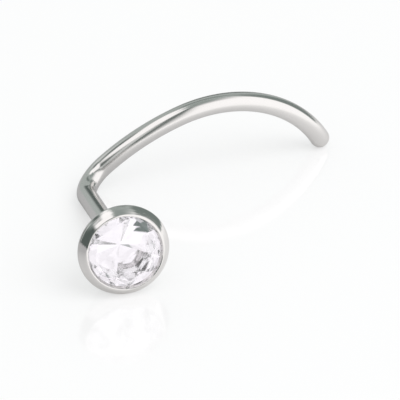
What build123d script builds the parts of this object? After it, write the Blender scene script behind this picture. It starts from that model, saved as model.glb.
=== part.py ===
from build123d import *
import os
from math import acos, asin, atan, atan2, cos, degrees, pi, radians, sin, tan

# A nose screw: a round cut crystal in a rolled-rim cup, which is soldered to a bent wire.
# Millimetres and degrees. The stud is drawn with its post along +Y, the rim of the cup at y = 0
# and the tail leaving the post towards +X. It is then laid down on its three points of rest:
# the belt of the cup, the corner of the wire and the tip of the tail.

# wire: straight post, corner, long first curve of the tail, tighter hook, round tip
wire_diameter = 0.8
post_reach = 8.4            # rim of the cup to the corner of the wire
corner_radius = 1.15
corner_turn = 96.0
tail_curve_radius = 9.6
tail_curve_length = 3.7
tail_hook_radius = 5.2
tail_hook_length = 7.15
tail_lean = 17.5            # how far the curl of the tail leans away from the cup

# cup: a cone with a round belt at its widest, and a bevel from there up to the crest of the rim
cup_diameter = 3.7
cup_height = 1.9
cup_base_diameter = 2.1
belt_depth = 0.42           # widest place, below the crest of the rim
belt_radius = 0.10
rim_crest_diameter = 3.08
rim_outer_round = 0.08      # from the crest to the bevel
rim_inner_round = 0.04      # from the crest into the window
window_diameter = 2.88      # opening of the rim over the crystal
rim_underside = 0.04        # how far the underside of the rim slopes on below the window
base_edge_round = 0.12
solder_fillet = 0.15

# crystal: round brilliant cut
girdle_diameter = 3.0
girdle_thickness = 0.05
girdle_depth = 0.26         # top of the girdle, below the crest of the rim
table_ratio = 0.82          # table over girdle, corner to corner
crown_height = 0.17
star_slope = 19.0
upper_girdle_slope = 38.0
pavilion_slope = 42.5
lower_girdle_slope = 49.5
facet_fold = 8
crystal_turn = 11.25        # how far the crystal is turned in its seat
stone_gap = 0.03            # between the crystal and the metal

wire_radius = wire_diameter / 2
girdle_radius = girdle_diameter / 2
pavilion_height = girdle_radius * tan(radians(pavilion_slope))
belt_ring_radius = cup_diameter / 2 - belt_radius


# --- cup -------------------------------------------------------------------
def tangent_point(point, centre, radius, side):
    """Where the line from point touches the circle: side is 1 or -1."""
    run = centre - point
    turn = asin(radius / run.length)
    heading = atan2(run.Y, run.X) + side * turn
    return point + Vector(cos(heading), sin(heading)) * (run.length * cos(turn))


def on_round(centre, radius, heading):
    return centre + Vector(cos(heading), sin(heading)) * radius


def rounding(centre, radius, start, end):
    """The arc of a rounding between two headings from its centre."""
    return ThreePointArc(*(on_round(centre, radius, h) for h in (start, (start + end) / 2, end)))


def cup():
    """The cup, turned about its own axis and hollowed to take the crystal."""
    rim_crest = Vector(rim_crest_diameter / 2, 0)
    base_edge = Vector(cup_base_diameter / 2, cup_height)
    outer_centre = rim_crest + Vector(0, rim_outer_round)
    inner_centre = rim_crest + Vector(0, rim_inner_round)
    belt_centre = Vector(belt_ring_radius, belt_depth)

    # the bevel is the line that touches the crest's outer round and the belt
    run = belt_centre - outer_centre
    bevel_side = atan2(run.Y, run.X) - acos((rim_outer_round - belt_radius) / run.length)
    belt_bottom = tangent_point(base_edge, belt_centre, belt_radius, 1)
    bottom_side = belt_bottom - belt_centre

    # the seat is a cone that clears the corners between the pavilion facets
    seat_slope = atan(tan(radians(pavilion_slope)) * cos(radians(180 / facet_fold)))
    seat_point = girdle_depth + girdle_thickness + pavilion_height + stone_gap / cos(seat_slope)
    bore_radius = girdle_radius + stone_gap
    seat_top = seat_point - bore_radius * tan(seat_slope)

    # the edge of the window lies the gap above the crown
    window_radius = window_diameter / 2
    crown_lean = radians(upper_girdle_slope)
    window_depth = girdle_depth - (girdle_radius - window_radius) * tan(crown_lean) - stone_gap / cos(crown_lean)
    window_edge = Vector(window_radius, window_depth)
    under_rim = Vector(bore_radius, window_depth + rim_underside)
    inner_side = tangent_point(window_edge, inner_centre, rim_inner_round, -1) - inner_centre

    belt = rounding(belt_centre, belt_radius, atan2(bottom_side.Y, bottom_side.X), bevel_side)
    outer_round = rounding(outer_centre, rim_outer_round, bevel_side, -pi / 2)
    inner_round = rounding(inner_centre, rim_inner_round, -pi / 2, atan2(inner_side.Y, inner_side.X))
    section = make_face([
        Polyline((0, cup_height), base_edge, belt @ 0),
        belt,
        Line(belt @ 1, outer_round @ 0),
        outer_round,
        inner_round,
        Polyline(inner_round @ 1, window_edge, under_rim, (bore_radius, seat_top), (0, seat_point)),
        Line((0, seat_point), (0, cup_height)),
    ])
    section = fillet(section.vertices().sort_by_distance(base_edge)[0], base_edge_round)
    return revolve(section, Axis.Y)


# --- wire ------------------------------------------------------------------
def bend(start, heading, turn, radius, angle):
    """An arc that leaves start along heading and curls towards turn."""
    plane = Plane(start + turn * radius, x_dir=turn * -1, z_dir=heading.cross(turn))
    return Edge.make_circle(radius, plane, 0, angle)


def wire_run(path):
    """Round wire along one straight line or arc."""
    return sweep(Plane(origin=path @ 0, z_dir=path % 0) * Circle(wire_radius), path=path)


corner_start = post_reach - corner_radius * tan(radians(corner_turn / 2))
post_line = Line((0, cup_height, 0), (0, corner_start, 0))
corner_arc = bend(post_line @ 1, Vector(0, 1, 0), Vector(1, 0, 0), corner_radius, corner_turn)

# the tail curls down in a plane that leans back from the cross plane of the post
curve_heading = corner_arc % 1
leaning_back = Vector(0, 0, 1).cross(curve_heading)
curve_turn = leaning_back * sin(radians(tail_lean)) - Vector(0, 0, cos(radians(tail_lean)))
curl_axis = curve_heading.cross(curve_turn)
curve_arc = bend(corner_arc @ 1, curve_heading, curve_turn,
                 tail_curve_radius, degrees(tail_curve_length / tail_curve_radius))
hook_heading = curve_arc % 1
hook_arc = bend(curve_arc @ 1, hook_heading, curl_axis.cross(hook_heading),
                tail_hook_radius, degrees(tail_hook_length / tail_hook_radius))
tip_centre = hook_arc @ 1


def metal():
    """Cup, post, corner, tail and tip: one piece of soldered metal."""
    wire = [wire_run(path) for path in (post_line, corner_arc, curve_arc, hook_arc)]
    stud = cup() + wire + Pos(tip_centre) * Sphere(wire_radius)
    post_root = stud.edges().filter_by(GeomType.CIRCLE).sort_by_distance((0, cup_height, 0))[0]
    return stud.solids()[0].fillet(solder_fillet, [post_root])


# --- crystal ---------------------------------------------------------------
def crystal():
    """A round brilliant, its axis on +Y and its table towards -Y."""
    table_radius = girdle_radius * table_ratio
    crown_slope = degrees(atan2(crown_height, girdle_radius - table_radius))
    step = 360 / facet_fold
    # girdle facets meet the main ones on the girdle, and star facets meet the edges of the table
    girdle_facet_radius = girdle_radius * cos(radians(step / 4))
    table_edge_radius = table_radius * cos(radians(step / 2))
    half = girdle_thickness / 2

    # a facet leans out by slope and passes at this radius from the axis at this height
    facets = [
        # count, first azimuth, slope, radius, height
        (facet_fold, 0, crown_slope, girdle_radius, half),
        (facet_fold, step / 2, star_slope, table_edge_radius, half + crown_height),
        (2 * facet_fold, step / 4, upper_girdle_slope, girdle_facet_radius, half),
        (facet_fold, 0, 180 - pavilion_slope, girdle_radius, -half),
        (2 * facet_fold, step / 4, 180 - lower_girdle_slope, girdle_facet_radius, -half),
    ]
    above = Cylinder(girdle_radius, half + crown_height, align=(Align.CENTER, Align.CENTER, Align.MIN))
    below = Cylinder(girdle_radius, half + pavilion_height, align=(Align.CENTER, Align.CENTER, Align.MAX))
    stone = (above + below).solids()[0]
    for count, first_azimuth, slope, radius, height in facets:
        for index in range(count):
            azimuth = radians(first_azimuth + index * 360 / count)
            outward = Vector(cos(azimuth), sin(azimuth), 0)
            normal = outward * sin(radians(slope)) + Vector(0, 0, cos(radians(slope)))
            facet_plane = Plane(outward * radius + Vector(0, 0, height), z_dir=normal)
            stone = split(stone, bisect_by=facet_plane, keep=Keep.BOTTOM)
    return Pos(0, girdle_depth + half, 0) * Rot(90, 0, 0) * Rot(0, 0, crystal_turn) * stone


# --- rest ------------------------------------------------------------------
def lowest_on_ring(centre, axis, ring_radius, up):
    """Lowest point of a circle round axis."""
    down = (axis * up.dot(axis) - up).normalized()
    return centre + down * ring_radius


def resting_plane():
    """The flat surface that the belt, the corner and the tip touch, post to the back."""
    up = Vector(1, 0, 1).normalized()
    for _ in range(40):
        belt = lowest_on_ring(Vector(0, belt_depth, 0), Vector(0, 1, 0), belt_ring_radius, up)
        corner = lowest_on_ring(Vector(corner_radius, corner_start, 0), Vector(0, 0, 1), corner_radius, up)
        belt_foot = belt - up * belt_radius
        corner_foot = corner - up * wire_radius
        tip_foot = tip_centre - up * wire_radius
        up = (tip_foot - belt_foot).cross(corner_foot - belt_foot).normalized()
    return Plane(belt_foot, x_dir=Vector(0, 1, 0).cross(up), z_dir=up)


surface = resting_plane()
pieces = {"stud_metal": surface.to_local_coords(metal()), "crystal": surface.to_local_coords(crystal())}

# the origin is the middle of the stud's box, on the surface
box = Compound(children=list(pieces.values())).bounding_box()
middle = box.center()
to_origin = Pos(-middle.X, -middle.Y, -box.min.Z)

os.makedirs("parts", exist_ok=True)
for name, piece in pieces.items():
    placed = (to_origin * piece).solids()[0]
    export_step(placed, f"parts/{name}.step")
    print(f"{name}: volume {placed.volume:.3f}, box {placed.bounding_box()}")
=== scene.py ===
from math import acos, asin, atan, atan2, cos, degrees, hypot, pi, radians, sin, tan

import bmesh
import bpy
from bpy.props import FloatProperty, FloatVectorProperty, IntProperty, PointerProperty
from bpy.types import Operator, Panel, PropertyGroup
from mathutils import Matrix, Vector


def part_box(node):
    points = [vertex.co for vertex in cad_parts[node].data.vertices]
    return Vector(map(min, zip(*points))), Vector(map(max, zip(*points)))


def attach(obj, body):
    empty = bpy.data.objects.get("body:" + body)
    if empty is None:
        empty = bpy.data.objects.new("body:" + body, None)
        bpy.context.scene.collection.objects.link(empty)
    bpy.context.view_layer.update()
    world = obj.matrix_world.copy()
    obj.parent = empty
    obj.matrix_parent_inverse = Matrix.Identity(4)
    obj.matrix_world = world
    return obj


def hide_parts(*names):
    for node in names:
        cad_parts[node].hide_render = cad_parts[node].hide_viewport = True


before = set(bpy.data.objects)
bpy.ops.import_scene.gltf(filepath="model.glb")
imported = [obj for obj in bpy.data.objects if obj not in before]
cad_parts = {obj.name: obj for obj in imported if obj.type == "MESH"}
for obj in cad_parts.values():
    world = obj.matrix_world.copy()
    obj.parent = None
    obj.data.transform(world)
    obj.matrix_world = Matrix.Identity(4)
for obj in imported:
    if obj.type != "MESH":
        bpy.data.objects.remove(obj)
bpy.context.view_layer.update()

bl_info = {
    "name": "Nose Stud Workshop",
    "version": (1, 0, 0),
    "blender": (4, 5, 0),
    "location": "3D View > Sidebar > Nose Stud",
    "description": "Turns, bends and polishes a steel nose stud, and cuts and sets its crystal",
    "category": "Object",
}

MM = 0.001                           # a millimetre in metres: pieces are shaped in millimetres


# --- sizes and colours a user would change -----------------------------------------------------

# how each kind of field is shown and limited
def length(name, description, millimetres):
    return FloatProperty(name=name, description=description, default=millimetres * MM,
                         unit="LENGTH", min=0, precision=5)


def angle(name, description, in_degrees):
    return FloatProperty(name=name, description=description, default=radians(in_degrees), unit="ROTATION")


def colour(name, description, value):
    return FloatVectorProperty(name=name, description=description, default=value,
                               subtype="COLOR", size=3, min=0, max=1)


def share(name, description, value):
    return FloatProperty(name=name, description=description, default=value, subtype="FACTOR", min=0, max=1)


class StudCup(PropertyGroup):
    diameter: length("Cup diameter", "Across the round belt of the cup", 3.7)
    height: length("Cup height", "Rim to back of the cup", 1.9)
    base_diameter: length("Base diameter", "Across the back of the cup", 2.1)
    belt_depth: length("Belt depth", "Widest place of the cup, below its rim", 0.42)
    belt_radius: length("Belt radius", "Rounding of the belt", 0.10)
    crest_diameter: length("Crest diameter", "Highest ring of the rolled rim", 3.08)
    crest_outer: length("Crest, outer round", "Rounding from the crest to the bevel", 0.08)
    crest_inner: length("Crest, inner round", "Rounding from the crest into the window", 0.04)
    bevel_crown: length("Bevel crown", "Radius of the shallow curve across the bevel", 1.9)
    window_diameter: length("Window diameter", "Opening of the rim over the crystal", 2.88)
    rim_underside: length("Rim underside", "How far the rim slopes on below the window", 0.04)
    base_round: length("Base round", "Rounding of the back edge", 0.12)
    solder_fillet: length("Solder fillet", "Solder where the post joins the cup", 0.15)
    segments: IntProperty(name="Segments", description="Faces round the cup and the wire",
                          default=128, min=24)


class StudWire(PropertyGroup):
    diameter: length("Wire diameter", "Thickness of the wire", 0.8)
    post_reach: length("Post reach", "Rim of the cup to the corner of the wire", 8.4)
    corner_radius: length("Corner radius", "Corner, at the middle of the wire", 1.15)
    corner_turn: angle("Corner turn", "How far the wire turns at the corner", 96.0)
    curve_radius: length("Tail curve radius", "First curve of the tail", 9.6)
    curve_length: length("Tail curve length", "First curve of the tail", 3.7)
    hook_radius: length("Tail hook radius", "Last curve of the tail", 5.2)
    hook_length: length("Tail hook length", "Last curve of the tail", 7.15)
    tail_lean: angle("Tail lean", "How far the curl of the tail leans away from the cup", 17.5)


class StudCrystal(PropertyGroup):
    diameter: length("Girdle diameter", "Across the crystal", 3.0)
    girdle_thickness: length("Girdle thickness", "Band between crown and pavilion", 0.05)
    girdle_depth: length("Girdle depth", "Top of the girdle, below the rim of the cup", 0.26)
    table_share: share("Table", "Table over girdle, corner to corner", 0.82)
    crown_height: length("Crown height", "Girdle to table", 0.17)
    star_slope: angle("Star slope", "Facets round the table", 19.0)
    upper_slope: angle("Upper slope", "Crown facets along the girdle", 38.0)
    pavilion_slope: angle("Pavilion slope", "Main facets of the back", 42.5)
    lower_slope: angle("Lower slope", "Back facets along the girdle", 49.5)
    fold: IntProperty(name="Fold", description="Main facets round the crystal", default=8, min=4)
    gap: length("Gap", "Between the crystal and the metal", 0.03)
    turn: angle("Turn", "How far the crystal is turned in its cup", 11.25)


class StudRest(PropertyGroup):
    roll: angle("Roll", "Turn about the post when the stud lies down", 39.67)
    pitch: angle("Pitch", "How far the post slopes down to the back", 11.84)


class StudFinish(PropertyGroup):
    steel: colour("Steel", "Polished steel", (0.70, 0.69, 0.68))
    cup_roughness: share("Cup roughness", "Roughness of the polish on the turned cup", 0.09)
    wire_roughness: share("Wire roughness", "Roughness of the polish on the drawn wire", 0.19)
    crystal: colour("Crystal", "Colour of the clear crystal", (0.99, 0.98, 1.0))
    refraction: FloatProperty(name="Refraction", description="Index of the crystal",
                              default=1.56, min=1.3, max=2.6)
    foil: colour("Foil", "Silver foil on the back of the crystal", (0.945, 0.95, 0.947))
    foil_roughness: share("Foil roughness", "Roughness of the foil", 0.055)
    floor: colour("Floor", "White studio floor", (0.97, 0.97, 0.975))
    room: colour("Room", "Dim room round the tent, which also tints its dark parts", (0.20, 0.25, 0.23))


GROUPS = {"stud_cup": StudCup, "stud_wire": StudWire, "stud_crystal": StudCrystal,
          "stud_rest": StudRest, "stud_finish": StudFinish}


# --- bench tools -------------------------------------------------------------------------------

TOUCHING = 1e-4                      # millimetres: points nearer than this are one


def clear_bench():
    """Leaves edit mode with nothing selected."""
    if bpy.context.object and bpy.context.object.mode != "OBJECT":
        bpy.ops.object.mode_set(mode="OBJECT")
    bpy.ops.object.select_all(action="DESELECT")


def select_ring(depth):
    """Selects the edges of the ring at this depth on the post's axis, in edit mode."""
    mesh = bmesh.from_edit_mesh(bpy.context.object.data)
    bpy.ops.mesh.select_mode(type="EDGE")
    bpy.ops.mesh.select_all(action="DESELECT")
    for edge_of_ring in mesh.edges:
        if all(abs(v.co.y - depth) < TOUCHING for v in edge_of_ring.verts):
            edge_of_ring.select_set(True)
    mesh.select_flush_mode()
    bmesh.update_edit_mesh(bpy.context.object.data)


def draw_ring(was, radius, depth):
    """Draws the selected ring out to a new radius and depth on the post's axis."""
    bpy.ops.mesh.extrude_edges_move(TRANSFORM_OT_translate={"value": (0, depth - was[1], 0)})
    ratio = radius / was[0]
    bpy.ops.transform.resize(value=(ratio, 1, ratio), center_override=(0, depth, 0))
    return radius, depth


def rounding(before, corner, after, radius, steps=6):
    """Points (radius, depth) of a round put on a corner of the profile."""
    before, corner, after = Vector(before), Vector(corner), Vector(after)
    back, on = (before - corner).normalized(), (after - corner).normalized()
    half = back.angle(on) / 2
    centre = corner + (back + on).normalized() * radius / sin(half)
    start, end = corner + back * radius / tan(half) - centre, corner + on * radius / tan(half) - centre
    return arc(centre, radius, atan2(start.y, start.x), atan2(end.y, end.x), steps)


def arc(centre, radius, start, end, steps):
    """Points (radius, depth) along an arc of the profile, the shorter way round."""
    turn = (end - start + pi) % (2 * pi) - pi
    return [(centre[0] + radius * cos(start + turn * i / steps),
             centre[1] + radius * sin(start + turn * i / steps)) for i in range(steps + 1)]


def tangent_point(point, centre, radius, side):
    """Where the line from point touches the circle: side is 1 or -1."""
    run = Vector(centre) - Vector(point)
    turn = asin(radius / run.length)
    heading = atan2(run.y, run.x) + side * turn
    return Vector(point) + Vector((cos(heading), sin(heading))) * (run.length * cos(turn))


def held(points, share_of_run=0.04, long_run=0.1):
    """Adds a ring near both ends of each long run, so that its shading stays straight."""
    result = [points[0]]
    for a, b in zip(points, points[1:]):
        a, b = Vector(a), Vector(b)
        if (b - a).length > long_run:
            result += [tuple(a.lerp(b, share_of_run)), tuple(a.lerp(b, 1 - share_of_run))]
        result.append(tuple(b))
    return result


def lay_down(piece, node):
    """Turns a finished piece to how the stud lies, in metres, over the CAD node it belongs to."""
    rest = bpy.context.scene.stud_rest
    clear_bench()
    piece.select_set(True)
    bpy.context.view_layer.objects.active = piece
    turn = Matrix.Rotation(-rest.pitch, 4, "X") @ Matrix.Rotation(-rest.roll, 4, "Y")
    piece.matrix_world = turn @ Matrix.Scale(MM, 4)
    bpy.ops.object.transform_apply(location=True, rotation=True, scale=True)
    points = [v.co for v in piece.data.vertices]
    low = Vector(min(p[i] for p in points) for i in range(3))
    high = Vector(max(p[i] for p in points) for i in range(3))
    cad_low, cad_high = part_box(node)
    piece.location = (cad_low + cad_high - low - high) / 2
    bpy.ops.object.transform_apply(location=True, rotation=True, scale=True)


def new_attributes(piece, **kinds):
    """Gives each point of a piece some named values, and returns them once all are there."""
    for name, kind in kinds.items():
        piece.data.attributes.new(name, kind, "POINT")
    return [piece.data.attributes[name].data for name in kinds]


# --- material tools ----------------------------------------------------------------------------

def new_material(name):
    """An empty material, with its nodes and links."""
    material = bpy.data.materials.new(name)
    material.use_nodes = True
    nodes = material.node_tree.nodes
    nodes.clear()
    return material, nodes, material.node_tree.links


def scaled(nodes, links, value, factor):
    """A value times a number."""
    product = nodes.new("ShaderNodeMath")
    product.operation = "MULTIPLY"
    product.inputs[1].default_value = factor
    links.new(value, product.inputs[0])
    return product.outputs[0]


def mixed(nodes, links, share, first, second):
    """A share of the second shader over the first."""
    mix = nodes.new("ShaderNodeMixShader")
    links.new(share, mix.inputs[0])
    links.new(first.outputs[0], mix.inputs[1])
    links.new(second.outputs[0], mix.inputs[2])
    return mix


def ranged(nodes, links, value, start, end, low, high):
    """Turns a value between start and end into one between low and high."""
    spread = nodes.new("ShaderNodeMapRange")
    for name, number in (("From Min", start), ("From Max", end), ("To Min", low), ("To Max", high)):
        spread.inputs[name].default_value = number
    links.new(value, spread.inputs["Value"])
    return spread


def noise_on(nodes, links, place, scale, low, high, detail=2.0):
    """Cloudy values between low and high."""
    noise = nodes.new("ShaderNodeTexNoise")
    noise.inputs["Scale"].default_value = scale
    noise.inputs["Detail"].default_value = detail
    links.new(place, noise.inputs["Vector"])
    return ranged(nodes, links, noise.outputs["Fac"], 0.3, 0.7, low, high).outputs["Result"]


def toned(nodes, links, shade, tint, socket):
    """Feeds a tint, made lighter and darker by shade, to a colour socket."""
    tone = nodes.new("ShaderNodeVectorMath")
    tone.operation = "SCALE"
    tone.inputs[0].default_value = tint
    links.new(shade, tone.inputs["Scale"])
    links.new(tone.outputs["Vector"], socket)


def multiplied(nodes, links, first, second):
    """One value times another."""
    product = nodes.new("ShaderNodeMath")
    product.operation = "MULTIPLY"
    links.new(first, product.inputs[0])
    links.new(second, product.inputs[1])
    return product.outputs[0]


def ridged(nodes, links, height, deepness, shader):
    """Lets a height bump a shader, so many metres deep."""
    bump = nodes.new("ShaderNodeBump")
    bump.inputs["Distance"].default_value = 1.0
    links.new(multiplied(nodes, links, height, deepness), bump.inputs["Height"])
    links.new(bump.outputs["Normal"], shader.inputs["Normal"])


def surfaced(nodes, links, shader):
    """Makes a shader what the material shows."""
    output = nodes.new("ShaderNodeOutputMaterial")
    links.new(shader.outputs[0], output.inputs["Surface"])


def finish_with(piece, material):
    """Gives a piece its one material."""
    piece.data.materials.clear()
    piece.data.materials.append(material)


# --- the metal ---------------------------------------------------------------------------------

END_RING = 0.05                          # millimetres from an end of the post to the ring near it
TIP_RINGS = 12
PAST_BEND, OFF_WIRE = 0.5, 1.05          # a bend's points lie within these radians and wire radii of it
SMOOTH = radians(25)                     # sharper edges than this show as edges
GRAIN_SCALE = 14.0                       # tool marks to a millimetre
GRAIN_ALONG = 20                         # how much longer than wide the marks are
GRAIN_OUT = 0.5                          # what a step out on the cup counts, next to one along its axis
WIRE_MARKS, CUP_MARKS = 0.3e-6, 3.0e-6   # metres deep


def cup_profile(cup, crystal, wire_radius):
    """Rings (radius, depth) in millimetres from the top of the seat, over the rim and round to the post."""
    belt_radius, outer_round, inner_round = cup.belt_radius / MM, cup.crest_outer / MM, cup.crest_inner / MM
    belt_centre = Vector((cup.diameter / 2 / MM - belt_radius, cup.belt_depth / MM))
    crest_radius = cup.crest_diameter / 2 / MM
    outer_centre, inner_centre = Vector((crest_radius, outer_round)), Vector((crest_radius, inner_round))
    base = (cup.base_diameter / 2 / MM, cup.height / MM)
    # the bevel is a shallow arc that touches both roundings from outside
    bulge = cup.bevel_crown / MM
    run = belt_centre - outer_centre
    to_outer, to_belt = bulge - outer_round, bulge - belt_radius
    turn = acos((to_outer ** 2 + run.length_squared - to_belt ** 2) / (2 * to_outer * run.length))
    heading = atan2(run.y, run.x) + turn
    bevel_centre = outer_centre + Vector((cos(heading), sin(heading))) * to_outer
    top_side, belt_side = outer_centre - bevel_centre, belt_centre - bevel_centre
    bevel_top, bevel_bottom = atan2(top_side.y, top_side.x), atan2(belt_side.y, belt_side.x)

    gap, girdle_radius = crystal.gap / MM, crystal.diameter / 2 / MM
    seat_slope = atan(tan(crystal.pavilion_slope) * cos(pi / crystal.fold))
    pavilion_height = girdle_radius * tan(crystal.pavilion_slope)
    girdle_bottom = (crystal.girdle_depth + crystal.girdle_thickness) / MM
    seat_point = girdle_bottom + pavilion_height + gap / cos(seat_slope)
    bore_radius = girdle_radius + gap
    seat_top = seat_point - bore_radius * tan(seat_slope)

    window_radius = cup.window_diameter / 2 / MM
    lean = crystal.upper_slope
    window_depth = crystal.girdle_depth / MM - (girdle_radius - window_radius) * tan(lean) - gap / cos(lean)
    window = (window_radius, window_depth)
    under_rim = (bore_radius, window_depth + cup.rim_underside / MM)

    inner = tangent_point(window, inner_centre, inner_round, -1) - inner_centre
    lower = tangent_point(base, belt_centre, belt_radius, 1) - belt_centre
    crest = (arc(inner_centre, inner_round, atan2(inner.y, inner.x), -pi / 2, 6)
             + arc(outer_centre, outer_round, -pi / 2, bevel_top, 12)[1:]
             + arc(bevel_centre, bulge, bevel_top, bevel_bottom, 8)[1:-1])
    belt = arc(belt_centre, belt_radius, bevel_bottom, atan2(lower.y, lower.x), 14)
    fillet = cup.solder_fillet / MM
    solder = rounding(base, (wire_radius, cup.height / MM), (wire_radius, 2 * cup.height / MM), fillet)
    outside = [under_rim, window, *crest, *belt,
               *rounding(belt[-1], base, solder[0], cup.base_round / MM), *solder]
    return (bore_radius, seat_top), seat_point, held([(bore_radius, seat_top), *outside])[1:]


def unbent(point, bend, turn):
    """A point of the wire, moved back as the wire is straightened by this turn."""
    centre, start, axis, _ = bend
    heading = axis.cross(start).normalized()
    return centre + Matrix.Rotation(-turn, 3, axis) @ (point - centre) + heading * start.length * turn


def straightened(point, bends, radius):
    """A point of the bent wire, moved to the straight wire it was bent from."""
    for last in reversed(range(len(bends))):
        centre, start, axis, turn = bends[last]
        offset = point - centre
        flat = offset - axis * offset.dot(axis)
        along = atan2(axis.cross(start).dot(flat), start.dot(flat))
        near = centre + flat.normalized() * start.length
        if -0.001 <= along <= turn + PAST_BEND and (point - near).length < radius * OFF_WIRE:
            # this bend is undone as far as the point, and each bend before it whole
            point = unbent(point, bends[last], min(along, turn))
            for bend in reversed(bends[:last]):
                point = unbent(point, bend, bend[3])
            return point
    return point


def mark_grain(metal, bends, radius, cup_width, cup_height):
    """Keeps the direction of the tool marks: rings on the turned cup, lines along the drawn wire."""
    grain, turned = new_attributes(metal, grain="FLOAT_VECTOR", turned="FLOAT")
    for vertex, mark, on_cup in zip(metal.data.vertices, grain, turned):
        x, y, z = vertex.co
        if y < cup_height and hypot(x, z) < cup_width:
            mark.vector = (GRAIN_OUT * hypot(x, z) + y, x / GRAIN_ALONG, z / GRAIN_ALONG)
            on_cup.value = 1.0
        else:
            x, y, z = straightened(vertex.co, bends, radius)
            mark.vector = (x, z, y / GRAIN_ALONG)


class STUD_OT_metal(Operator):
    """Turns the cup, draws and bends the wire out of it, and polishes the whole"""
    bl_idname = "stud.metal"
    bl_label = "Cup and Wire"

    def execute(self, context):
        cup, wire, crystal = context.scene.stud_cup, context.scene.stud_wire, context.scene.stud_crystal
        radius = wire.diameter / 2 / MM
        seat_top, seat_point, rings = cup_profile(cup, crystal, radius)

        clear_bench()
        bpy.ops.mesh.primitive_circle_add(vertices=cup.segments, radius=seat_top[0], fill_type="NOTHING",
                                          location=(0, seat_top[1], 0), rotation=(pi / 2, 0, 0))
        metal = context.object
        metal.name = metal.data.name = "polished_stud"
        bpy.ops.object.transform_apply(location=True, rotation=True, scale=True)
        bpy.ops.object.mode_set(mode="EDIT")

        # the cone under the crystal closes in a point
        bpy.ops.mesh.select_mode(type="EDGE")
        bpy.ops.mesh.select_all(action="SELECT")
        bpy.ops.mesh.extrude_edges_move(TRANSFORM_OT_translate={"value": (0, seat_point - seat_top[1], 0)})
        bpy.ops.mesh.merge(type="CENTER")

        # from the top of the seat over the rim, round the belt and back to the post
        select_ring(seat_top[1])
        ring = seat_top
        for point in rings:
            ring = draw_ring(ring, *point)

        # straight post, with a ring near each end to keep its shading straight
        corner_radius = wire.corner_radius / MM
        post_end = wire.post_reach / MM - corner_radius * tan(wire.corner_turn / 2)
        for depth in (ring[1] + END_RING, post_end - END_RING, post_end):
            ring = draw_ring(ring, radius, depth)

        # corner towards +X, then the two curves of the tail in a plane that leans back
        heading, turn_to = Vector((0, 1, 0)), Vector((1, 0, 0))
        place = Vector((0, post_end, 0))
        heading_out = heading * cos(wire.corner_turn) + turn_to * sin(wire.corner_turn)
        leaning_back = Vector((0, 0, 1)).cross(heading_out)
        curl = leaning_back * sin(wire.tail_lean) - Vector((0, 0, 1)) * cos(wire.tail_lean)
        bends = []
        for bend_radius, bend_turn, steps, towards in (
                # radius, turn, steps, the side it curls to
                (corner_radius, wire.corner_turn, 64, turn_to),
                (wire.curve_radius / MM, wire.curve_length / wire.curve_radius, 40, curl),
                (wire.hook_radius / MM, wire.hook_length / wire.hook_radius, 64, None)):
            towards = towards or curl_axis.cross(heading)
            curl_axis = heading.cross(towards)
            centre = place + towards * bend_radius
            bends.append((centre, place - centre, curl_axis, bend_turn))
            bpy.ops.mesh.spin(steps=steps, angle=bend_turn, center=centre, axis=-curl_axis)
            turned = Matrix.Rotation(bend_turn, 3, curl_axis)
            place, heading = centre + turned @ (place - centre), turned @ heading

        # the tip is a half ball, ring by ring: share of the radius, share of the reach
        was = (1.0, 0.0)
        for i in range(1, TIP_RINGS + 1):
            now = (cos(pi / 2 * i / TIP_RINGS), sin(pi / 2 * i / TIP_RINGS))
            move = heading * (now[1] - was[1]) * radius
            bpy.ops.mesh.extrude_edges_move(TRANSFORM_OT_translate={"value": move})
            middle = place + heading * now[1] * radius
            ratio = now[0] / was[0] if i < TIP_RINGS else 0.0
            bpy.ops.transform.resize(value=(ratio, ratio, ratio), center_override=middle)
            was = now
        bpy.ops.mesh.merge(type="CENTER")

        bpy.ops.mesh.select_all(action="SELECT")
        bpy.ops.mesh.remove_doubles(threshold=TOUCHING)
        bpy.ops.mesh.normals_make_consistent(inside=False)
        bpy.ops.object.mode_set(mode="OBJECT")
        bpy.ops.object.shade_smooth_by_angle(angle=SMOOTH)

        mark_grain(metal, bends, radius, cup.diameter / MM, (cup.height + cup.solder_fillet) / MM)
        lay_down(metal, "stud_metal")
        finish_with(metal, steel_material(context.scene.stud_finish))
        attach(metal, "root")
        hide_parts("stud_metal")
        return {"FINISHED"}


def steel_material(finish):
    """Polished steel: fine rings are left on the turned cup, and fine lines along the drawn wire."""
    material, nodes, links = new_material("polished_steel")
    shader = nodes.new("ShaderNodeBsdfPrincipled")
    shader.inputs["Metallic"].default_value = 1.0
    grain, turned = nodes.new("ShaderNodeAttribute"), nodes.new("ShaderNodeAttribute")
    grain.attribute_name, turned.attribute_name = "grain", "turned"
    marks = noise_on(nodes, links, grain.outputs["Vector"], GRAIN_SCALE, 0.0, 1.0, 3.0)
    depth = ranged(nodes, links, turned.outputs["Fac"], 0, 1, WIRE_MARKS, CUP_MARKS)
    ridged(nodes, links, marks, depth.outputs["Result"], shader)
    polish = ranged(nodes, links, turned.outputs["Fac"], 0, 1, finish.wire_roughness, finish.cup_roughness)
    uneven = noise_on(nodes, links, grain.outputs["Vector"], 5.0, 0.6, 1.4)
    links.new(multiplied(nodes, links, polish.outputs["Result"], uneven), shader.inputs["Roughness"])
    toned(nodes, links, noise_on(nodes, links, grain.outputs["Vector"], 2.5, 0.97, 1.03),
          finish.steel, shader.inputs["Base Color"])
    surfaced(nodes, links, shader)
    return material


# --- the crystal -------------------------------------------------------------------------------

GIRDLE_SIDES = 128
FACING_BACK = 0.3                        # faces that turn this far to the back of the cup are foiled


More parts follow.
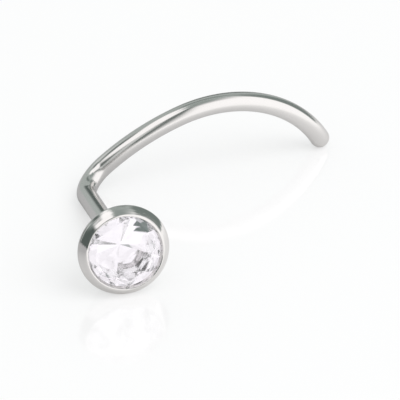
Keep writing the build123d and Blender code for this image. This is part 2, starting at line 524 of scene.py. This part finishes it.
class STUD_OT_crystal(Operator):
    """Cuts the round crystal, facet by facet, and sets it in the cup"""
    bl_idname = "stud.crystal"
    bl_label = "Crystal"

    def execute(self, context):
        cut = context.scene.stud_crystal
        radius, thickness, crown = cut.diameter / 2 / MM, cut.girdle_thickness / MM, cut.crown_height / MM
        half, step = thickness / 2, 2 * pi / cut.fold
        pavilion = radius * tan(cut.pavilion_slope)
        table_radius = radius * cut.table_share
        crown_slope = atan2(crown, radius - table_radius)
        # girdle facets meet the main ones on the girdle, and star facets meet the edges of the table
        girdle_facet, table_edge = radius * cos(step / 4), table_radius * cos(step / 2)

        # the rough stone: a short rod on Z, its table upwards
        clear_bench()
        bpy.ops.mesh.primitive_cylinder_add(vertices=GIRDLE_SIDES, radius=radius,
                                            depth=crown + thickness + pavilion,
                                            location=(0, 0, (crown - pavilion) / 2))
        stone = context.object
        stone.name = stone.data.name = "cut_crystal"
        bpy.ops.object.transform_apply(location=True, rotation=True, scale=True)
        bpy.ops.object.mode_set(mode="EDIT")
        for count, first, slope, at_radius, at_height in (
                # the crown: main facets, star facets, upper girdle facets
                (cut.fold, 0, crown_slope, radius, half),
                (cut.fold, step / 2, cut.star_slope, table_edge, half + crown),
                (2 * cut.fold, step / 4, cut.upper_slope, girdle_facet, half),
                # the pavilion: main facets, lower girdle facets
                (cut.fold, 0, pi - cut.pavilion_slope, radius, -half),
                (2 * cut.fold, step / 4, pi - cut.lower_slope, girdle_facet, -half)):
            for index in range(count):
                azimuth = first + index * 2 * pi / count
                outward = Vector((cos(azimuth), sin(azimuth), 0))
                bpy.ops.mesh.select_all(action="SELECT")
                bpy.ops.mesh.bisect(plane_co=outward * at_radius + Vector((0, 0, at_height)),
                                    plane_no=outward * sin(slope) + Vector((0, 0, cos(slope))),
                                    use_fill=True, clear_outer=True, threshold=1e-5)
        bpy.ops.mesh.select_all(action="SELECT")
        bpy.ops.mesh.remove_doubles(threshold=2e-4)
        bpy.ops.mesh.normals_make_consistent(inside=False)
        bpy.ops.object.mode_set(mode="OBJECT")

        # into the cup: its axis goes on the post's axis
        stone.matrix_world = (Matrix.Translation((0, cut.girdle_depth / MM + half, 0))
                              @ Matrix.Rotation(pi / 2, 4, "X") @ Matrix.Rotation(cut.turn, 4, "Z"))
        bpy.ops.object.transform_apply(location=True, rotation=True, scale=True)
        stone.data.materials.append(crystal_material(context.scene.stud_finish))
        stone.data.materials.append(foil_material(context.scene.stud_finish))
        for face in stone.data.polygons:
            face.material_index = int(face.normal.y > FACING_BACK)
        lay_down(stone, "crystal")
        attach(stone, "root")
        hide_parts("crystal")
        return {"FINISHED"}


def crystal_material(finish):
    """Clear crystal with the faintest haze of handling on its polish."""
    material, nodes, links = new_material("clear_crystal")
    shader = nodes.new("ShaderNodeBsdfPrincipled")
    shader.inputs["Transmission Weight"].default_value = 1.0
    shader.inputs["IOR"].default_value = finish.refraction
    place = nodes.new("ShaderNodeTexCoord")
    links.new(noise_on(nodes, links, place.outputs["Object"], 900, 0.0, 0.012), shader.inputs["Roughness"])
    toned(nodes, links, noise_on(nodes, links, place.outputs["Object"], 500, 0.985, 1.0),
          finish.crystal, shader.inputs["Base Color"])
    surfaced(nodes, links, shader)
    return material


def foil_material(finish):
    """The silvered back of the crystal, slightly uneven."""
    material, nodes, links = new_material("silver_foil")
    shader = nodes.new("ShaderNodeBsdfPrincipled")
    shader.inputs["Metallic"].default_value = 1.0
    place = nodes.new("ShaderNodeTexCoord")
    rough = finish.foil_roughness
    links.new(noise_on(nodes, links, place.outputs["Object"], 2500, rough * 0.7, rough * 1.3),
              shader.inputs["Roughness"])
    toned(nodes, links, noise_on(nodes, links, place.outputs["Object"], 1200, 0.97, 1.0),
          finish.foil, shader.inputs["Base Color"])
    surfaced(nodes, links, shader)
    return material


# --- the stage ---------------------------------------------------------------------------------

CAMERA_AZIMUTH = radians(13.42)      # the camera looks this far to the right of +Y
CAMERA_ELEVATION = radians(30.97)
CAMERA_AIM = Vector((-1.3205, -4.3726, 3.6876)) * MM
CAMERA_DISTANCE = 260 * MM
CAMERA_LENS = 595.2
LEVEL = 0.75                         # the even light on all but steel and crystal
LAMP_AZIMUTH, LAMP_ELEVATION, LAMP_DISTANCE, LAMP_SIZE, LAMP_POWER = 60, 55, 0.5, 0.4, 1.0

# the camera sees the floor partly lit from below, with some gloss on it
FLOOR_SIZE, FLOOR_LIT, FLOOR_GLOW, FLOOR_MIRROR = 1.2, 0.55, 1.18, 0.16
# steel sees a share of painted glow on it: painted shade near and under the stud, brightening along this
# azimuth into painted light, from one distance from the middle to another
FLOOR_IN_STEEL, FLOOR_AZIMUTH = 0.40, 50
FLOOR_NEAR, FLOOR_FAR = -6.2 * MM, 10.6 * MM
FLOOR_LEFT, FLOOR_RIGHT, FLOOR_TINT = 0.0, 1.84, (1.0, 0.98, 0.965, 1)

TENT_RADIUS, TENT_RINGS = 0.45, 90
TENT_WHITE = Vector((1.0, 0.985, 0.985))
TENT_DARK = 0.15
TENT = (
    # azimuths, elevations, soft edge across, soft edge up, brightness
    ((112, 262), (-30, 100), 20, 10, 0.56),      # grey cloth behind
    ((-200, 200), (72, 100), 10, 18, 0.42),      # the open top
    ((-134, -94), (-30, 34), 8, 6, 0.86),        # a fold on the left
    ((15, 118), (-30, 66), 24, 32, 1.38),        # white cloth on the right
    ((-134, -12), (57, 79), 12, 7, 1.40),        # and high on the left
    ((-88, -12), (40, 79), 16, 8, 1.36),
    ((-22, -2), (14, 44), 10, 10, 0.84),
    ((-98, -84), (28, 46), 8, 10, 0.40),
    ((-113, -97), (38, 53), 8, 8, 0.14),         # dark gaps in it
    ((108, 150), (-30, 57), 12, 8, 0.28),
    ((156, 212), (50, 63), 10, 8, 0.27),
    ((170, 194), (-8, 20), 12, 8, 0.15),
    ((-1, 8), (4, 66), 7, 16, 0.20),             # the seam in front
)

# the crystal sees a bright cloth with one dark gap and soft folds, in degrees
SPARKLE, GAP = Vector((1.09, 1.05, 1.09)), Vector((0.10, 0.145, 0.13))
GAP_AROUND, GAP_UP, GAP_SOFT = (-56, -30), (-2, 18), 8
FOLD_DEPTH, FOLD_TURN, FOLD_START = 0.08, 24, 24
# and a painted glow on the floor, brighter than its lit face, with a painted dark spot in it that shows as
# a dark reflection
DARK_SPOT_PLACE = Vector((-5.32, -7.64, 0)) * MM
DARK_SPOT_INNER, DARK_SPOT_OUTER, DARK_SPOT_LEVEL, CRYSTAL_GLOW = 0.72 * MM, 1.72 * MM, 0.05, 1.25
CRYSTAL_GLOW_TINT = (1.0, 0.965, 1.0, 1)


def studio_direction(azimuth, elevation):
    """A way out from the stud, in degrees: azimuth 0 is towards the camera and 90 to its right."""
    to_camera = Vector((-sin(CAMERA_AZIMUTH), -cos(CAMERA_AZIMUTH), 0))
    to_right = Vector((cos(CAMERA_AZIMUTH), -sin(CAMERA_AZIMUTH), 0))
    level = to_camera * cos(radians(azimuth)) + to_right * sin(radians(azimuth))
    return level * cos(radians(elevation)) + Vector((0, 0, sin(radians(elevation))))


def step_up(value, low, high):
    """0 below low, 1 above high and smooth between them."""
    part = min(max((value - low) / (high - low), 0.0), 1.0)
    return part * part * (3 - 2 * part)


def edge(value, span, soft, turn=None):
    """1 inside the span and 0 outside, with soft edges, the short way round a turn."""
    middle, half = (span[0] + span[1]) / 2, (span[1] - span[0]) / 2
    away = value - middle
    if turn:
        away = (away + turn / 2) % turn - turn / 2
    return 1 - step_up(abs(away), half - soft / 2, half + soft / 2)


class STUD_OT_stage(Operator):
    """Sets up the white floor, the studio light round it and the camera"""
    bl_idname = "stud.stage"
    bl_label = "Studio"

    def execute(self, context):
        finish = context.scene.stud_finish
        clear_bench()
        self.camera(context)
        self.floor(finish)
        self.surroundings(context, finish)
        self.tent(finish)
        self.lamps()
        context.scene.view_settings.view_transform = "Standard"
        # light bounces many times between the facets before it comes out again
        bounces = context.scene.cycles
        bounces.max_bounces, bounces.transmission_bounces, bounces.glossy_bounces = 32, 32, 24
        return {"FINISHED"}

    def camera(self, context):
        """A long lens in front of the stud and above it."""
        forward = -studio_direction(0, 0) * cos(CAMERA_ELEVATION) - Vector((0, 0, sin(CAMERA_ELEVATION)))
        bpy.ops.object.camera_add(location=CAMERA_AIM - forward * CAMERA_DISTANCE,
                                  rotation=forward.to_track_quat("-Z", "Y").to_euler())
        camera = context.object
        camera.name = "camera"
        camera.data.lens = CAMERA_LENS
        camera.data.clip_start, camera.data.clip_end = 0.01, 10
        context.scene.camera = camera

    def floor(self, finish):
        """A white acrylic sheet: it keeps a faint shadow and a faint, soft mirror image. Steel sees painted
        shade and light on it, and the crystal a painted glow with a painted dark spot.
        """
        clear_bench()
        bpy.ops.mesh.primitive_plane_add(size=FLOOR_SIZE)
        floor = bpy.context.object
        floor.name = floor.data.name = "floor"
        material, nodes, links = new_material("white_acrylic")
        path = nodes.new("ShaderNodeLightPath")
        place = nodes.new("ShaderNodeTexCoord")
        sheet = nodes.new("ShaderNodeBsdfDiffuse")
        toned(nodes, links, noise_on(nodes, links, place.outputs["Object"], 25, 0.985, 1.0),
              finish.floor, sheet.inputs["Color"])

        # the camera sees a sheet that is lit from below as well
        white = nodes.new("ShaderNodeEmission")
        white.inputs["Strength"].default_value = FLOOR_GLOW
        seen = scaled(nodes, links, path.outputs["Is Camera Ray"], FLOOR_LIT)
        before_camera = mixed(nodes, links, seen, sheet, white)

        # reflections see a share of painted glow on it: painted shade under the stud, painted light out to
        # the right
        across = nodes.new("ShaderNodeVectorMath")
        across.operation = "DOT_PRODUCT"
        across.inputs[1].default_value = studio_direction(FLOOR_AZIMUTH, 0)
        below = nodes.new("ShaderNodeEmission")
        below.inputs["Color"].default_value = FLOOR_TINT
        links.new(place.outputs["Object"], across.inputs[0])
        shade_to_light = ranged(nodes, links, across.outputs["Value"], FLOOR_NEAR, FLOOR_FAR, FLOOR_LEFT, FLOOR_RIGHT)
        links.new(shade_to_light.outputs["Result"], below.inputs["Strength"])
        mirrored = scaled(nodes, links, path.outputs["Is Glossy Ray"], FLOOR_IN_STEEL)
        before_steel = mixed(nodes, links, mirrored, before_camera, below)

        # the crystal sees an even painted glow on it, but for a painted dark spot that shows as a dark
        # reflection
        away = nodes.new("ShaderNodeVectorMath")
        away.operation = "DISTANCE"
        away.inputs[1].default_value = DARK_SPOT_PLACE
        lit = nodes.new("ShaderNodeEmission")
        lit.inputs["Color"].default_value = CRYSTAL_GLOW_TINT
        links.new(place.outputs["Object"], away.inputs[0])
        dark_spot = ranged(nodes, links, away.outputs["Value"], DARK_SPOT_INNER, DARK_SPOT_OUTER, DARK_SPOT_LEVEL, CRYSTAL_GLOW)
        dark_spot.interpolation_type = "SMOOTHSTEP"
        links.new(dark_spot.outputs["Result"], lit.inputs["Strength"])
        before_crystal = mixed(nodes, links, path.outputs["Is Transmission Ray"], before_steel, lit)

        polish = nodes.new("ShaderNodeBsdfGlossy")
        links.new(noise_on(nodes, links, place.outputs["Object"], 60, 0.08, 0.12),
                  polish.inputs["Roughness"])
        share_seen = scaled(nodes, links, path.outputs["Is Camera Ray"], FLOOR_MIRROR)
        whole = mixed(nodes, links, share_seen, before_crystal, polish)
        surfaced(nodes, links, whole)
        material.cycles.emission_sampling = "NONE"
        finish_with(floor, material)

    def surroundings(self, context, finish):
        """A white room for the camera, a dim one for reflections, and an even light on all else."""
        world = bpy.data.worlds.new("studio")
        context.scene.world = world
        world.use_nodes = True
        nodes, links = world.node_tree.nodes, world.node_tree.links
        nodes.clear()
        output = nodes.new("ShaderNodeOutputWorld")
        path = nodes.new("ShaderNodeLightPath")
        white, level, dim = (nodes.new("ShaderNodeBackground") for _ in range(3))
        level.inputs["Strength"].default_value = LEVEL
        dim.inputs["Color"].default_value = (*finish.room, 1)
        white.inputs["Color"].default_value = level.inputs["Color"].default_value = (1, 1, 1, 1)
        mirrored = nodes.new("ShaderNodeMath")
        mirrored.operation = "MAXIMUM"
        links.new(path.outputs["Is Glossy Ray"], mirrored.inputs[0])
        links.new(path.outputs["Is Transmission Ray"], mirrored.inputs[1])
        before_camera = mixed(nodes, links, mirrored.outputs[0], level, dim)
        whole = mixed(nodes, links, path.outputs["Is Camera Ray"], before_camera, white)
        links.new(whole.outputs[0], output.inputs["Surface"])

    def tent(self, finish):
        """The light tent: white and grey parts for the steel, nearly all bright for the crystal."""
        clear_bench()
        bpy.ops.mesh.primitive_uv_sphere_add(segments=2 * TENT_RINGS, ring_count=TENT_RINGS,
                                             radius=TENT_RADIUS)
        tent = bpy.context.object
        tent.name = tent.data.name = "light_tent"
        bpy.ops.object.shade_smooth()
        bpy.ops.object.mode_set(mode="EDIT")
        bpy.ops.mesh.flip_normals()
        bpy.ops.object.mode_set(mode="OBJECT")
        cloth, sparkle = new_attributes(tent, cloth="FLOAT_COLOR", sparkle="FLOAT_COLOR")
        to_camera, to_right = studio_direction(0, 0), studio_direction(90, 0)
        dim = Vector(finish.room) / max(finish.room)

        def lit(bright):
            return dim.lerp(TENT_WHITE, min(bright, 1.0)) * bright

        for vertex, paint, gleam in zip(tent.data.vertices, cloth, sparkle):
            way = vertex.co.normalized()
            front, right = way.dot(to_camera), way.dot(to_right)
            azimuth, elevation = degrees(atan2(right, front)), degrees(asin(way.z))
            tint = lit(TENT_DARK)
            for azimuths, elevations, soft_across, soft_up, bright in TENT:
                part = edge(azimuth, azimuths, soft_across, 360) * edge(elevation, elevations, soft_up)
                tint = tint.lerp(lit(bright), part)
            paint.color = (*tint, 1)
            part = edge(azimuth, GAP_AROUND, GAP_SOFT, 360) * edge(elevation, GAP_UP, GAP_SOFT)
            fold = 1 + FOLD_DEPTH * cos(radians((azimuth - FOLD_START) * 360 / FOLD_TURN))
            gleam.color = (*(SPARKLE.lerp(GAP, part) * fold), 1)
        material, nodes, links = new_material("tent_cloth")
        glow = nodes.new("ShaderNodeEmission")
        painted = nodes.new("ShaderNodeAttribute")
        painted.attribute_name = "cloth"
        links.new(painted.outputs["Color"], glow.inputs["Color"])
        folds, gleam = nodes.new("ShaderNodeAttribute"), nodes.new("ShaderNodeEmission")
        folds.attribute_name = "sparkle"
        links.new(folds.outputs["Color"], gleam.inputs["Color"])
        path = nodes.new("ShaderNodeLightPath")
        whole = mixed(nodes, links, path.outputs["Is Transmission Ray"], glow, gleam)
        surfaced(nodes, links, whole)
        material.cycles.emission_sampling = "NONE"
        finish_with(tent, material)
        tent.visible_camera = tent.visible_diffuse = tent.visible_shadow = False

    def lamps(self):
        """One soft box, which gives the stud its shadow and shows in nothing."""
        clear_bench()
        where = studio_direction(LAMP_AZIMUTH, LAMP_ELEVATION) * LAMP_DISTANCE
        bpy.ops.object.light_add(type="AREA", location=where,
                                 rotation=(-where).to_track_quat("-Z", "Y").to_euler())
        lamp = bpy.context.object
        lamp.name = "softbox"
        lamp.data.shape = "SQUARE"
        lamp.data.size = LAMP_SIZE
        lamp.data.energy = LAMP_POWER
        lamp.visible_glossy = lamp.visible_transmission = False


OPERATORS = (STUD_OT_stage, STUD_OT_metal, STUD_OT_crystal)


class STUD_PT_workshop(Panel):
    """Lists the steps of making the stud"""
    bl_label = "Nose Stud"
    bl_space_type = "VIEW_3D"
    bl_region_type = "UI"
    bl_category = "Nose Stud"

    def draw(self, context):
        for operator in OPERATORS:
            self.layout.operator(operator.bl_idname)
        for name, group in GROUPS.items():
            box = self.layout.box()
            for field in group.__annotations__:
                box.prop(getattr(context.scene, name), field)


CLASSES = (*GROUPS.values(), *OPERATORS, STUD_PT_workshop)


def register():
    for cls in CLASSES:
        bpy.utils.register_class(cls)
    for name, group in GROUPS.items():
        setattr(bpy.types.Scene, name, PointerProperty(type=group))


def unregister():
    for name in GROUPS:
        delattr(bpy.types.Scene, name)
    for cls in reversed(CLASSES):
        bpy.utils.unregister_class(cls)


def main():
    register()
    bpy.ops.stud.stage()
    bpy.ops.stud.metal()
    bpy.ops.stud.crystal()
    bpy.context.view_layer.update()


if __name__ == "__main__":
    main()
